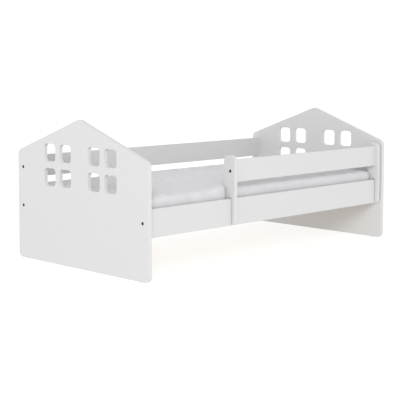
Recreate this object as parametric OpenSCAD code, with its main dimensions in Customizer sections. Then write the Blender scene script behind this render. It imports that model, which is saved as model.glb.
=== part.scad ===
// Toddler bed with house-shaped end panels and a lift-off front guard.
// +X runs from the foot panel to the head panel and the guard is on the -Y side.
// The origin is on the floor under the middle of the bed. Millimetres.

/* [Overall] */
// Length over the two end panels
bed_length = 1640; // [1300:1:2100]
// Width of the end panels
bed_width = 892; // [740:1:1100]
// Thickness of every laminated board
board_t = 18; // [15:0.5:22]

/* [End panels] */
// Floor to the corner where a side meets the roof, before rounding
eaves_z = 500; // [480:1:600]
// Rise from that corner to the ridge, before rounding
roof_rise = 160; // [130:1:200]
// Radius of the two feet
foot_r = 26; // [5:1:40]
// Radius of the two eaves
eaves_r = 32; // [5:1:60]
// Radius of the ridge
ridge_r = 38; // [5:1:120]
// Distance from the rails' outer faces to the panels' edges
panel_overhang = 28; // [22:1:50]

/* [Windows] */
// Side of a square pane
pane = 80; // [60:1:88]
// Radius of a pane's corners
pane_r = 18; // [4:1:28]
// Bar between the panes of one window
window_bar = 30; // [20:1:36]
// Middle of the bed to the middle of a window
window_y = 153; // [125:1:170]
// Eaves corner down to the middle of a window
window_drop = 53; // [40:1:90]

/* [Side boards] */
// Floor to the lower edge of the side rails
rail_z = 183; // [120:1:200]
// Height of the side rails
rail_h = 120; // [100:1:144]
// Floor to the lower edge of both guard boards
guard_z = 375; // [350:1:400]
// Height of both guard boards
guard_h = 100; // [70:1:120]

/* [Lift-off guard] */
// Length of the guard over its two uprights
guard_length = 1093; // [700:1:1200]
// Gap between the guard and the head panel
guard_gap = 5; // [3:1:10]
// Depth of an upright, front to back
upright_depth = 66; // [60:1:80]
// Upright in front of its slot
upright_front = 17; // [14:1:20]
// Upright above the guard board
upright_rise = 20; // [0:1:30]
// Radius of an upright's top corners
upright_r = 28; // [5:1:30]
// Radius of an upright's outer foot
upright_foot_r = 13; // [2:1:14]
// Clearance between a slot and the rail on each side
slot_clear = 2; // [1:0.1:3]
// Radius in the slot's upper corners, which rest on the rail
slot_r = 8; // [5:0.5:10]

/* [Slatted base] */
// Number of slats
slat_count = 13; // [10:1:16]
// Width of a slat
slat_w = 70; // [50:1:90]
// Thickness of a slat
slat_t = 14; // [10:0.5:20]
// Height of the ledges that carry the slats
batten_h = 30; // [20:1:40]
// Width of the ledges that carry the slats
batten_w = 20; // [15:1:30]
// Rail top down to the top of the slats
slat_drop = 48; // [37:1:57]
// Width of the webbing under the slats
strap_w = 30; // [20:1:50]
// Thickness of the webbing
strap_t = 1.2; // [0.8:0.1:2]

/* [Mattress] */
// Thickness of the mattress
mattress_t = 90; // [50:1:110]
// Thickness of the quilted cover
cover_t = 3; // [2:0.5:6]
// Gap between the mattress and the side rails
mattress_side_gap = 5; // [3:1:15]
// Gap between the mattress and the end panels
mattress_end_gap = 7; // [3:1:15]
// Gap between the mattress and the guard's inner legs
notch_gap = 4; // [2:1:10]

/* [Fittings] */
// Diameter of a connector bolt's shank
bolt_d = 6; // [5:0.5:8]
// Length of a connector bolt under its head
bolt_length = 50; // [44:1:70]
// Diameter of a connector bolt's head
bolt_head_d = 14; // [11:0.5:17]
// Thickness of a connector bolt's head
bolt_head_t = 3.6; // [2.5:0.1:5]
// Side rail's middle up to its bolt
rail_bolt_rise = 4; // [0:1:10]
// Diameter of a cross dowel nut
nut_d = 10; // [9:0.5:12]
// Diameter of a wooden dowel
dowel_d = 8; // [6:1:10]
// Diameter of a glide under a panel's foot
glide_d = 16; // [10:1:20]
// Thickness of a glide's disc
glide_t = 3; // [2:0.5:6]

/* [Hidden] */
eps = 0.01;                 // overcut that keeps faces from coinciding
rest_gap = 0.3;             // between pieces that rest on each other but move apart
seat_gap = 0.5;             // between the rail's corners and the slot that rests on them
pin_clear = 0.05;           // radial clearance of a piece in its own hole
arc_steps = 12;             // straight steps in a rounded corner
$fn = 48;

// --- Levels and faces ---
inner_x = bed_length / 2 - board_t;                  // inner faces of the end panels
rail_out = bed_width / 2 - panel_overhang;           // outer faces of the rails
rail_in = rail_out - board_t;                        // inner faces of the rails
rail_y = rail_out - board_t / 2;                     // middle of the rails and guard boards
rail_top = rail_z + rail_h;
guard_top = guard_z + guard_h;
rail_bolt_z = rail_z + rail_h / 2 + rail_bolt_rise;
guard_bolt_z = guard_z + guard_h / 2;

// --- Bolted board ends ---
bolt_hole_d = bolt_d + 1;
head_clear = 0.4;                                    // around and above a bolt's head
sink_depth = bolt_head_t + head_clear;               // depth of a head's recess
bolt_reach = bolt_length - (board_t - sink_depth);   // shank inside the board's end
hole_extra = 4;                                      // hole beyond the shank's end
nut_reach = 30;                                      // board's end to the nut's middle
nut_cover = 3;                                       // wood and recess at a nut's two ends
hex_socket_d = 4.6;                                  // across the socket's corners
hex_socket_depth = 2.4;
dowel_length = 35;
dowel_in_panel = 11;
dowel_space = 1;                                     // glue space at a dowel's ends
rail_dowel_gap = rail_h / 2 - 30;                    // bolt to each dowel, along Z
guard_dowel_gap = guard_h / 2 - 21;

// --- Guard uprights ---
guard_right_x = inner_x - guard_gap - board_t;       // left face of the right upright
guard_left_x = guard_right_x + board_t - guard_length;
guard_board_x = guard_left_x + board_t;
guard_board_length = guard_right_x - guard_board_x;
slot_front = -rail_out - slot_clear;
slot_back = -rail_in + slot_clear;
upright_y0 = slot_front - upright_front;
upright_y1 = upright_y0 + upright_depth;
// The rail's square corners meet the slot's rounded ones this far under the slot's top
slot_seat = slot_r - sqrt(slot_r * slot_r - (slot_r - slot_clear) * (slot_r - slot_clear));
slot_top = rail_top + slot_seat + seat_gap;
upright_low = rail_z + 2;
upright_high = guard_top + upright_rise;
leg_tip_r = 3;

// --- Slatted base ---
slat_top = rail_top - slat_drop;
slat_z = slat_top - slat_t;
slat_length = 2 * (rail_in - 2);
slat_end_gap = 10;                                   // end slat to the panel
slat_pitch = (2 * (inner_x - slat_end_gap) - slat_w) / (slat_count - 1);
batten_z = slat_z - batten_h;
batten_length = 2 * inner_x - 44;
batten_screw_count = 6;
batten_screw_d = 4;
batten_screw_in_rail = 10;
slat_screw_d = 3.5;
slat_screw_in_batten = 11;
screw_head_d = 7.6;
screw_head_h = 2.4;
strap_y = rail_in - batten_w - 40;                   // middle of a strap
staple_wire = 0.7;
staple_w = 11;
staple_leg = 6;                                      // leg inside the slat
leg_clear = slat_top + 3;                            // foot of a guard's inner leg

// --- Mattress ---
mattress_z = slat_top + rest_gap;
mattress_x1 = inner_x - mattress_end_gap;
mattress_y1 = rail_in - mattress_side_gap;
mattress_r = 30;
notch_r = 5;
core_gap = 0.3;                                      // between the cover and its core

// --- Glides ---
glide_nail_d = 2;
glide_nail_length = 14;
glide_y = bed_width / 2 - 60;

// --- Joints that bolt a board's end to a panel: [y, z, dowel gap, side of the nut's hole] ---
panel_joints = [
    [-rail_y, rail_bolt_z, rail_dowel_gap, 1],
    [rail_y, rail_bolt_z, rail_dowel_gap, -1],
    [rail_y, guard_bolt_z, guard_dowel_gap, 1]
];
front_rail_joint = panel_joints[0];
rear_rail_joint = panel_joints[1];
rear_guard_joint = panel_joints[2];
guard_joint = [-rail_y, guard_bolt_z, guard_dowel_gap, 1];

slat_names = [for (i = [1:slat_count]) str("slat_", i < 10 ? "0" : "", i)];

// --- Outlines with rounded corners ---

function unit(v) = v / norm(v);

// Arc that rounds corner p between neighbours a and b
function corner_arc(a, p, b, r) =
    let (
        ua = unit(a - p),
        ub = unit(b - p),
        half = acos(ua * ub) / 2,
        centre = p + unit(ua + ub) * r / sin(half),
        n1 = p + ua * r / tan(half) - centre,
        n2 = p + ub * r / tan(half) - centre,
        sweep = 180 - 2 * half
    )
    [for (i = [0:arc_steps])
        let (s = i / arc_steps)
        centre + (n1 * sin((1 - s) * sweep) + n2 * sin(s * sweep)) / sin(sweep)];

// Closed outline through corners given as [x, y, radius]
function rounded(corners) =
    let (n = len(corners), at = [for (c = corners) [c[0], c[1]]])
    [for (i = [0:n - 1])
        each corner_arc(at[(i + n - 1) % n], at[i], at[(i + 1) % n], corners[i][2])];

// Square of one size and corner radius, centred
function rounded_square(side, r) =
    let (h = side / 2)
    rounded([[-h, -h, r], [h, -h, r], [h, h, r], [-h, h, r]]);

// Stands an outline drawn in Y and Z across the bed, from x towards +X
module across(x, t) {
    translate([x, 0, 0]) rotate([90, 0, 90]) linear_extrude(t) children();
}

// --- One bolted board end ---
// Each module draws an end at x = 0 whose board runs towards +X and whose panel is behind it.

module rod_x(x0, x1, d) {
    translate([x0, 0, 0]) rotate([0, 90, 0]) cylinder(h = x1 - x0, d = d);
}

// Cylinder along Y from the board's middle outwards on one side
module rod_y(y0, y1, d) {
    translate([0, y0, 0]) rotate([-90, 0, 0]) cylinder(h = y1 - y0, d = d);
}

module dowel_rods(gap, grow) {
    for (side = [-1, 1])
        translate([0, 0, side * gap])
            rod_x(-dowel_in_panel - grow, dowel_length - dowel_in_panel + grow,
                dowel_d + (grow > 0 ? 2 * pin_clear : 0));
}

module nut_barrel(side, hole) {
    far = board_t / 2 - nut_cover;
    near = hole ? board_t / 2 + 1 : far;
    translate([nut_reach, 0, 0])
        rod_y(side > 0 ? -far - (hole ? eps : 0) : -near,
            side > 0 ? near : far + (hole ? eps : 0),
            nut_d + (hole ? 2 * pin_clear : 0));
}

module joint_bolt() {
    head_x = sink_depth - board_t;
    difference() {
        union() {
            rod_x(head_x - bolt_head_t, head_x, bolt_head_d);
            rod_x(head_x - eps, head_x + bolt_length, bolt_d);
        }
        translate([head_x - bolt_head_t - eps, 0, 0])
            rotate([0, 90, 0]) cylinder(h = hex_socket_depth, d = hex_socket_d, $fn = 6);
    }
}

module joint_nut(side) {
    difference() {
        nut_barrel(side, false);
        translate([nut_reach, 0, 0]) rod_x(-nut_d, nut_d, bolt_d + 2 * pin_clear);
    }
}

module joint_holes_in_board(gap, side) {
    rod_x(-1, bolt_reach + hole_extra, bolt_hole_d);
    nut_barrel(side, true);
    dowel_rods(gap, dowel_space);
}

module joint_holes_in_panel(gap) {
    rod_x(-board_t - 1, 1, bolt_hole_d);
    rod_x(-board_t - 1, sink_depth - board_t, bolt_head_d + 2 * head_clear);
    dowel_rods(gap, dowel_space);
}

// Puts a board end's pieces at x, with the board running towards +X (way = 1) or -X (way = -1)
module at_joint(x, way, joint) {
    translate([x, joint[0], joint[1]]) mirror([way < 0 ? 1 : 0, 0, 0]) children();
}

// --- End panels ---

module house_outline() {
    h = bed_width / 2;
    difference() {
        polygon(rounded([
            [-h, glide_t, foot_r], [h, glide_t, foot_r],
            [h, eaves_z, eaves_r], [0, eaves_z + roof_rise, ridge_r], [-h, eaves_z, eaves_r]
        ]));
        for (side = [-1, 1], across_bar = [-1, 1], up_bar = [-1, 1])
            translate([
                side * window_y + across_bar * (pane + window_bar) / 2,
                eaves_z - window_drop + up_bar * (pane + window_bar) / 2
            ])
                polygon(rounded_square(pane, pane_r));
    }
}

module glide_places(way) {
    for (side = [-1, 1])
        translate([way * (inner_x + board_t / 2), side * glide_y, 0]) children();
}

// way is -1 for the foot and 1 for the head
module end_panel(way) {
    difference() {
        across(way > 0 ? inner_x : -inner_x - board_t, board_t) house_outline();
        for (joint = panel_joints)
            at_joint(way * inner_x, -way, joint) joint_holes_in_panel(joint[2]);
        glide_places(way)
            cylinder(h = glide_t + glide_nail_length + 1, d = glide_nail_d + 2 * pin_clear);
    }
}

module foot_panel() color("whitesmoke") end_panel(-1);

module head_panel() color("whitesmoke") end_panel(1);

module glides() {
    color("gainsboro")
        for (way = [-1, 1])
            glide_places(way) {
                cylinder(h = glide_t, d = glide_d);
                cylinder(h = glide_t + glide_nail_length, d = glide_nail_d);
            }
}

// --- Side boards ---

// Board between the end panels, bolted at both ends
module side_board(z, h, joint) {
    difference() {
        translate([-inner_x, joint[0] - board_t / 2, z]) cube([2 * inner_x, board_t, h]);
        for (way = [-1, 1])
            at_joint(way * inner_x, -way, joint) joint_holes_in_board(joint[2], joint[3]);
    }
}

module side_rail(joint, side) {
    difference() {
        side_board(rail_z, rail_h, joint);
        batten_screw_places(side) batten_screw(pin_clear);
    }
}

module front_rail() color("white") side_rail(front_rail_joint, -1);

module rear_rail() color("white") side_rail(rear_rail_joint, 1);

module rear_guard() color("white") side_board(guard_z, guard_h, rear_guard_joint);

module frame_bolts() {
    color("dimgray")
        for (way = [-1, 1], joint = panel_joints) at_joint(way * inner_x, -way, joint) joint_bolt();
}

module frame_barrel_nuts() {
    color("silver")
        for (way = [-1, 1], joint = panel_joints)
            at_joint(way * inner_x, -way, joint) joint_nut(joint[3]);
}

module frame_dowels() {
    color("burlywood")
        for (way = [-1, 1], joint = panel_joints)
            at_joint(way * inner_x, -way, joint) dowel_rods(joint[2], 0);
}

// --- Slatted base ---

// Countersunk screw pointing down from z = 0
module wood_screw(d, length, grow) {
    translate([0, 0, -length - grow]) cylinder(h = length + grow, d = d + 2 * grow);
    translate([0, 0, -screw_head_h])
        cylinder(h = screw_head_h + (grow > 0 ? eps : 0), d1 = d + 2 * grow, d2 = screw_head_d + 2 * grow);
}

module batten_screw(grow) {
    wood_screw(batten_screw_d, batten_w + batten_screw_in_rail, grow);
}

// side is -1 at the front and 1 at the rear; the screws point out from the bed's middle
module batten_screw_places(side) {
    spread = batten_length - 2 * slat_w;
    for (i = [0:batten_screw_count - 1])
        translate([
            -spread / 2 + i * spread / (batten_screw_count - 1),
            side * (rail_in - batten_w),
            batten_z + batten_h / 2
        ])
            rotate([side * 90, 0, 0]) children();
}

function slat_x(i) = -inner_x + slat_end_gap + i * slat_pitch;

// Screw places of one end slat, on top of it over the battens
module slat_screw_places(i) {
    for (side = [-1, 1])
        translate([slat_x(i) + slat_w / 2, side * (rail_in - batten_w / 2), slat_top]) children();
}

module slat_screw(grow) {
    wood_screw(slat_screw_d, slat_t + slat_screw_in_batten, grow);
}

module batten(side) {
    difference() {
        translate([-batten_length / 2, side > 0 ? rail_in - batten_w : -rail_in, batten_z])
            cube([batten_length, batten_w, batten_h]);
        batten_screw_places(side) batten_screw(pin_clear);
        for (i = [0, slat_count - 1]) slat_screw_places(i) slat_screw(pin_clear);
    }
}

module front_batten() color("wheat") batten(-1);

module rear_batten() color("wheat") batten(1);

module batten_screws() {
    color("silver")
        for (side = [-1, 1]) batten_screw_places(side) batten_screw(0);
}

module slat_screws() {
    color("silver")
        for (i = [0, slat_count - 1]) slat_screw_places(i) slat_screw(0);
}

// Staple across the strap under one slat; grow widens its legs into their holes
module staple(i, side, grow) {
    low = slat_z - strap_t;
    translate([slat_x(i) + slat_w / 2, side * strap_y, 0]) {
        for (end = [-1, 1])
            translate([-staple_wire / 2 - grow, end * (staple_w - staple_wire) / 2 - staple_wire / 2 - grow, low - eps])
                cube([staple_wire + 2 * grow, staple_wire + 2 * grow, strap_t + staple_leg + grow]);
        if (grow == 0)
            translate([-staple_wire / 2, -staple_w / 2, low - staple_wire])
                cube([staple_wire, staple_w, staple_wire]);
    }
}

module slat(i) {
    color("burlywood")
        difference() {
            translate([slat_x(i), -slat_length / 2, slat_z]) cube([slat_w, slat_length, slat_t]);
            for (side = [-1, 1]) staple(i, side, pin_clear);
            if (i == 0 || i == slat_count - 1) slat_screw_places(i) slat_screw(pin_clear);
        }
}

module strap(side) {
    difference() {
        translate([slat_x(0), side * strap_y - strap_w / 2, slat_z - strap_t])
            cube([slat_x(slat_count - 1) + slat_w - slat_x(0), strap_w, strap_t]);
        for (i = [0:slat_count - 1]) staple(i, side, pin_clear);
    }
}

module strap_front() color("lightgray") strap(-1);

module strap_rear() color("lightgray") strap(1);

module strap_staples() {
    color("silver")
        for (i = [0:slat_count - 1], side = [-1, 1]) staple(i, side, 0);
}

// --- Lift-off guard ---

module upright_outline() {
    polygon(rounded([
        [upright_y0, upright_low, upright_foot_r],
        [slot_front, upright_low, leg_tip_r],
        [slot_front, slot_top, slot_r],
        [slot_back, slot_top, slot_r],
        [slot_back, leg_clear, leg_tip_r],
        [upright_y1, leg_clear, leg_tip_r],
        [upright_y1, upright_high, upright_r],
        [upright_y0, upright_high, upright_r]
    ]));
}

// way is -1 for the left upright and 1 for the right one
module guard_upright(x, way) {
    difference() {
        across(x, board_t) upright_outline();
        at_joint(way > 0 ? x : x + board_t, -way, guard_joint) joint_holes_in_panel(guard_joint[2]);
    }
}

// Places something at both ends of the guard board
module guard_ends() {
    at_joint(guard_board_x, 1, guard_joint) children();
    at_joint(guard_right_x, -1, guard_joint) children();
}

module guard_upright_left() color("whitesmoke") guard_upright(guard_left_x, -1);

module guard_upright_right() color("whitesmoke") guard_upright(guard_right_x, 1);

module guard_board() {
    color("white")
        difference() {
            translate([guard_board_x, -rail_out, guard_z]) cube([guard_board_length, board_t, guard_h]);
            guard_ends() joint_holes_in_board(guard_joint[2], guard_joint[3]);
        }
}

module guard_bolts() color("dimgray") guard_ends() joint_bolt();

module guard_barrel_nuts() color("silver") guard_ends() joint_nut(guard_joint[3]);

module guard_dowels() color("burlywood") guard_ends() dowel_rods(guard_joint[2], 0);

// --- Mattress ---

// Outline seen from above, drawn in by inset, with notches for the guard's inner legs
module mattress_outline(inset) {
    x1 = mattress_x1 - inset;
    y1 = mattress_y1 - inset;
    notch_y = upright_y1 + notch_gap + inset;
    out = notch_gap + inset;
    polygon(rounded([
        [-x1, -y1, mattress_r],
        [guard_left_x - out, -y1, notch_r],
        [guard_left_x - out, notch_y, notch_r],
        [guard_left_x + board_t + out, notch_y, notch_r],
        [guard_left_x + board_t + out, -y1, notch_r],
        [guard_right_x - out, -y1, notch_r],
        [guard_right_x - out, notch_y, notch_r],
        [x1, notch_y, notch_r],
        [x1, y1, mattress_r],
        [-x1, y1, mattress_r]
    ]));
}

module mattress_block(inset) {
    translate([0, 0, mattress_z + inset])
        linear_extrude(mattress_t - 2 * inset) mattress_outline(inset);
}

module mattress_cover() {
    color("lavender")
        difference() {
            mattress_block(0);
            mattress_block(cover_t);
        }
}

module mattress_core() color("lemonchiffon") mattress_block(cover_t + core_gap);

// --- The bed ---

foot_panel();
head_panel();
front_rail();
rear_rail();
rear_guard();
front_batten();
rear_batten();
batten_screws();
slat_screws();
strap_front();
strap_rear();
strap_staples();
frame_bolts();
frame_barrel_nuts();
frame_dowels();
glides();
guard_board();
guard_upright_left();
guard_upright_right();
guard_bolts();
guard_barrel_nuts();
guard_dowels();
mattress_cover();
mattress_core();
for (i = [0:slat_count - 1])
    slat(i);
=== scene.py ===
import math

import bmesh
import bpy
import numpy as np
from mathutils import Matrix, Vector
from mathutils.bvhtree import BVHTree
from mathutils.noise import noise


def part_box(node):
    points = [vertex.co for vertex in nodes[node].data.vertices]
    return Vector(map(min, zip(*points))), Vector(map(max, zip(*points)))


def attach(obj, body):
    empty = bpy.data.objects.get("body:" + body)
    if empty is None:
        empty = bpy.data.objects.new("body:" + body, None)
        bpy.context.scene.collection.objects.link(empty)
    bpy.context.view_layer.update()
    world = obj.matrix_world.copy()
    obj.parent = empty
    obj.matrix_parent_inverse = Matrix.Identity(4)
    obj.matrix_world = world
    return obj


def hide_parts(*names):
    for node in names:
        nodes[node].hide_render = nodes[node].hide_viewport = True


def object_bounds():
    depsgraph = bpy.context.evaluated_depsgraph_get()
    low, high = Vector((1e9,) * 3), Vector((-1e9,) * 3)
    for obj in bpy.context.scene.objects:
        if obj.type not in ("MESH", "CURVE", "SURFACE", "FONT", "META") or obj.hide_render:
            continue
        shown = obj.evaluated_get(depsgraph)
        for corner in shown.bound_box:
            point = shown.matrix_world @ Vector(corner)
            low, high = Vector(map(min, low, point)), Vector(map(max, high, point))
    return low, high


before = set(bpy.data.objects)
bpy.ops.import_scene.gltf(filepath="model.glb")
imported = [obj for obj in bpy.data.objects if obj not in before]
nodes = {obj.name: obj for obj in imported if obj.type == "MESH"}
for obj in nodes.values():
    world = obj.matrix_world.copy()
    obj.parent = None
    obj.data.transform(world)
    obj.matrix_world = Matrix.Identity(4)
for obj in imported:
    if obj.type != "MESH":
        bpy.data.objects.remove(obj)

cadLow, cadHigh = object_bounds()
scene = bpy.context.scene
mm = 0.001
print("frame loaded, box", [round(v, 3) for v in (*cadLow, *cadHigh)])


# node trees

class Wire:  # one output of a node; sums and products of wires add Math nodes
    def __init__(self, bench, socket):
        self.bench = bench
        self.socket = socket

    def worked(self, operation, *values):
        kind = "ShaderNodeMath"
        return self.bench.add(kind, {"operation": operation}, dict(enumerate(values))).out()

    def __add__(self, other):
        return self.worked("ADD", self, other)

    def __sub__(self, other):
        return self.worked("SUBTRACT", self, other)

    def __rsub__(self, other):
        return self.worked("SUBTRACT", other, self)

    def __mul__(self, other):
        return self.worked("MULTIPLY", self, other)

    def __pow__(self, other):
        return self.worked("POWER", self, other)

    __radd__ = __add__
    __rmul__ = __mul__


class Part:  # a placed node
    def __init__(self, bench, node):
        self.bench = bench
        self.node = node

    def out(self, name=0):
        return Wire(self.bench, self.node.outputs[name])


class Bench:  # a node tree that is being wired
    def __init__(self, tree):
        self.tree = tree
        tree.nodes.clear()

    def add(self, kind, settings=None, sockets=None):
        node = self.tree.nodes.new(kind)
        for name, value in (settings or {}).items():
            if name == "stops":
                self.fillRamp(node.color_ramp, value)
            else:
                setattr(node, name, value)
        for name, value in (sockets or {}).items():
            if isinstance(value, Wire):
                self.tree.links.new(value.socket, node.inputs[name])
            else:
                node.inputs[name].default_value = value
        return Part(self, node)

    def fillRamp(self, ramp, stops):
        while len(ramp.elements) < len(stops):
            ramp.elements.new(0.5)
        for element, (place, colour) in zip(ramp.elements, stops):
            element.position = place
            element.color = colour

    def coords(self, scale=(1, 1, 1), turn=(0, 0, 0), shift=None):
        place = self.add("ShaderNodeTexCoord").out("Object")
        if shift is not None:
            place = self.add("ShaderNodeVectorMath", {"operation": "ADD"}, {0: place, 1: shift}).out()
        sockets = {"Vector": place, "Scale": scale, "Rotation": turn}
        return self.add("ShaderNodeMapping", None, sockets).out()

    def noise(self, where, scale, detail=3.0, rough=0.5):
        sockets = {"Vector": where, "Scale": scale, "Detail": detail, "Roughness": rough}
        return self.add("ShaderNodeTexNoise", None, sockets).out()

    def ramp(self, value, stops):
        return self.add("ShaderNodeValToRGB", {"stops": stops}, {"Fac": value}).out()

    def mix(self, share, first, second):
        return self.add("ShaderNodeMix", {"data_type": "RGBA"}, {0: share, 6: first, 7: second}).out(2)

    def attribute(self, name):
        return self.add("ShaderNodeAttribute", {"attribute_name": name}).out("Fac")

    def bump(self, height, strength, distance):
        sockets = {"Height": height, "Strength": strength, "Distance": distance}
        return self.add("ShaderNodeBump", None, sockets).out()

    def principled(self, sockets):
        surface = self.add("ShaderNodeBsdfPrincipled", None, sockets).out()
        self.add("ShaderNodeOutputMaterial", None, {"Surface": surface})


def newMaterial(name):
    material = bpy.data.materials.new(name)
    material.use_nodes = True
    return material, Bench(material.node_tree)


def grey(level, tint=(1, 1, 1)):
    return (level * tint[0], level * tint[1], level * tint[2], 1)


# materials

laminateLook = {
    "face": grey(0.60),
    "banding": grey(0.61),
    "shade": grey(0.54, (1.0, 0.998, 0.99)),
    "pearlSize": 1100.0,        # pearls per metre of the pressed texture
    "roughness": 0.46,
}


def whiteLaminate():
    look = laminateLook
    material, bench = newMaterial("whiteLaminate")
    where = bench.coords()
    pearl = bench.noise(where, look["pearlSize"], 2.0)
    cloud = bench.noise(where, 2.3, 3.0)
    banding = bench.attribute("banding")
    smudge = bench.ramp(bench.noise(where, 14.0, 4.0, 0.6), [(0.5, grey(0)), (0.9, grey(1))])
    tone = bench.mix(banding, look["face"], look["banding"])
    tone = bench.mix(cloud * 0.16, tone, look["shade"])
    tone = bench.mix(smudge * 0.10, tone, look["shade"])
    bench.principled({
        "Base Color": tone,
        "Roughness": pearl * 0.12 + (look["roughness"] - 0.06) - banding * 0.10,
        "Normal": bench.bump(pearl, 0.10, 0.0003),
        "Specular IOR Level": 0.42,
        "Coat Weight": 0.06,
        "Coat Roughness": 0.35,
    })
    return material


woodLook = {
    "early": (0.74, 0.59, 0.40, 1),
    "late": (0.58, 0.40, 0.23, 1),
    "knot": (0.30, 0.16, 0.08, 1),
    "ringWidth": 7 * mm,
    "roughness": 0.62,
}


def softwood(name, alongY):
    # growth rings as long streaks, fibres and a few knots; slats run along Y and ledges along X
    look = woodLook
    material, bench = newMaterial(name)
    stretch = (1, 0.05, 1) if alongY else (0.05, 1, 1)
    fine = (1, 0.02, 1) if alongY else (0.02, 1, 1)
    tone = bench.attribute("tone")
    shift = bench.add("ShaderNodeCombineXYZ", None,
                      {"X": tone * 3.1, "Y": tone * 7.7, "Z": tone * 0.9}).out()
    where = bench.coords(stretch, shift=shift)
    warp = bench.noise(where, 14.0, 3.0, 0.55)
    axes = bench.add("ShaderNodeSeparateXYZ", None, {"Vector": where})
    reach = axes.out("X" if alongY else "Y") + axes.out("Z") * 0.7 + warp * 0.05
    ring = reach.worked("SINE", reach * (2 * math.pi / look["ringWidth"]))
    ringShade = (ring * 0.5 + 0.5) ** 3.0
    fibre = bench.noise(bench.coords(fine, shift=shift), 700.0, 2.0, 0.7)
    knotPlace = bench.coords((1, 0.5, 1) if alongY else (0.5, 1, 1), shift=shift)
    cell = bench.add("ShaderNodeTexVoronoi", None, {"Vector": knotPlace, "Scale": 7.0})
    knot = bench.ramp(cell.out("Distance"), [(0.030, grey(1)), (0.075, grey(0))])
    colour = bench.mix(ringShade * 0.6, look["early"], look["late"])
    colour = bench.mix(fibre * 0.25, colour, look["late"])
    colour = bench.mix(knot * 0.85, colour, look["knot"])
    bench.principled({
        "Base Color": bench.mix(tone * 0.25, colour, look["early"]),
        "Roughness": fibre * 0.2 + (look["roughness"] - 0.1),
        "Normal": bench.bump(fibre + ringShade * 0.6, 0.22, 0.0003),
        "Specular IOR Level": 0.3,
    })
    return material


def metal(name, level, roughness, tint=(1, 1, 1)):
    material, bench = newMaterial(name)
    where = bench.coords()
    brushed = bench.noise(bench.coords((1, 1, 0.05)), 1800.0, 2.0)
    cloud = bench.noise(where, 220.0, 3.0)
    bench.principled({
        "Base Color": bench.mix(cloud, grey(level * 0.75, tint), grey(level, tint)),
        "Roughness": brushed * 0.18 + (roughness - 0.09),
        "Normal": bench.bump(brushed, 0.05, 0.0002),
        "Metallic": 1.0,
    })
    return material


fabricLook = {
    "high": grey(0.625, (0.99, 0.99, 1.015)),
    "low": grey(0.55, (0.985, 0.985, 1.025)),
    "stitchSize": 3.2 * mm,     # one loop of the knit
    "roughness": 0.92,
}


def mattressKnit():
    look = fabricLook
    material, bench = newMaterial("mattressKnit")
    where = bench.coords()
    axes = bench.add("ShaderNodeSeparateXYZ", None, {"Vector": where})
    turns = 2 * math.pi / look["stitchSize"]
    wale = axes.out("X").worked("SINE", (axes.out("X") + axes.out("Z")) * turns)
    course = axes.out("Y").worked("SINE", (axes.out("Y") + axes.out("Z") * 0.7) * turns)
    loops = wale * course * 0.5 + 0.5
    fuzz = bench.noise(where, 900.0, 3.0, 0.7)
    cloud = bench.noise(where, 16.0, 4.0, 0.55)
    broad = bench.noise(where, 3.5, 2.0)
    tone = bench.mix(bench.ramp(cloud, [(0.35, grey(0)), (0.7, grey(1))]), look["high"], look["low"])
    tone = bench.mix(broad * 0.5, tone, look["high"])
    tone = bench.mix(loops * 0.16, tone, look["low"])
    bench.principled({
        "Base Color": tone,
        "Roughness": fuzz * 0.12 + (look["roughness"] - 0.06),
        "Normal": bench.bump(loops * 0.7 + fuzz * 0.5, 0.35, 0.0006),
        "Specular IOR Level": 0.15,
        "Sheen Weight": 0.25,
        "Sheen Roughness": 0.5,
    })
    return material


def webbingWeave():
    material, bench = newMaterial("webbingWeave")
    axes = bench.add("ShaderNodeSeparateXYZ", None, {"Vector": bench.coords()})
    warp = axes.out("X").worked("SINE", axes.out("X") * (2 * math.pi / (2.4 * mm)))
    weft = axes.out("Y").worked("SINE", axes.out("Y") * (2 * math.pi / (1.6 * mm)))
    weave = warp * weft * 0.5 + 0.5
    fuzz = bench.noise(bench.coords(), 1500.0, 2.0)
    bench.principled({
        "Base Color": bench.mix(weave * 0.6 + fuzz * 0.2,
                                grey(0.78, (1, 1, 0.96)), grey(0.5, (1, 0.99, 0.95))),
        "Roughness": fuzz * 0.1 + 0.8,
        "Normal": bench.bump(weave, 0.5, 0.0004),
        "Specular IOR Level": 0.2,
    })
    return material


def mouldedPlastic(name, level, roughness):
    material, bench = newMaterial(name)
    grain = bench.noise(bench.coords(), 1400.0, 3.0)
    bench.principled({
        "Base Color": bench.mix(grain * 0.3, grey(level), grey(level * 0.85)),
        "Roughness": grain * 0.15 + roughness,
        "Normal": bench.bump(grain, 0.12, 0.0002),
    })
    return material


def foamCells():
    material, bench = newMaterial("foamCells")
    where = bench.coords()
    cells = bench.add("ShaderNodeTexVoronoi", None, {"Vector": where, "Scale": 700.0}).out("Distance")
    cloud = bench.noise(where, 30.0)
    bench.principled({
        # darker in the middle of each cell, where the bump sinks: painted shade in the pores, over the
        # foam's own pale yellow
        "Base Color": bench.mix(cells + cloud * 0.3, (0.62, 0.55, 0.36, 1), (0.86, 0.82, 0.66, 1)),
        "Roughness": cloud * 0.08 + 0.9,
        "Normal": bench.bump(cells, 0.6, 0.0006),
    })
    return material


boardFinish = whiteLaminate()
slatWood = softwood("slatPine", True)
ledgeWood = softwood("ledgePine", False)
dowelWood = softwood("dowelBeech", False)
zincPlate = metal("zincPlate", 0.72, 0.34, (1, 1, 1.02))
# the bolts' near-black colour is a dark steel finish that also paints the shade of their recessed holes:
# painted shade
darkSteelWithPaintedShade = metal("darkSteelWithPaintedShade", 0.05, 0.5)
knitFabric = mattressKnit()
strapWeave = webbingWeave()
glidePlastic = mouldedPlastic("glidePlastic", 0.62, 0.45)
zipPlastic = mouldedPlastic("zipPlastic", 0.74, 0.3)
foamFinish = foamCells()
threadFinish = mouldedPlastic("sewingThread", 0.8, 0.7)
print("materials made")


# meshes

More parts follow.
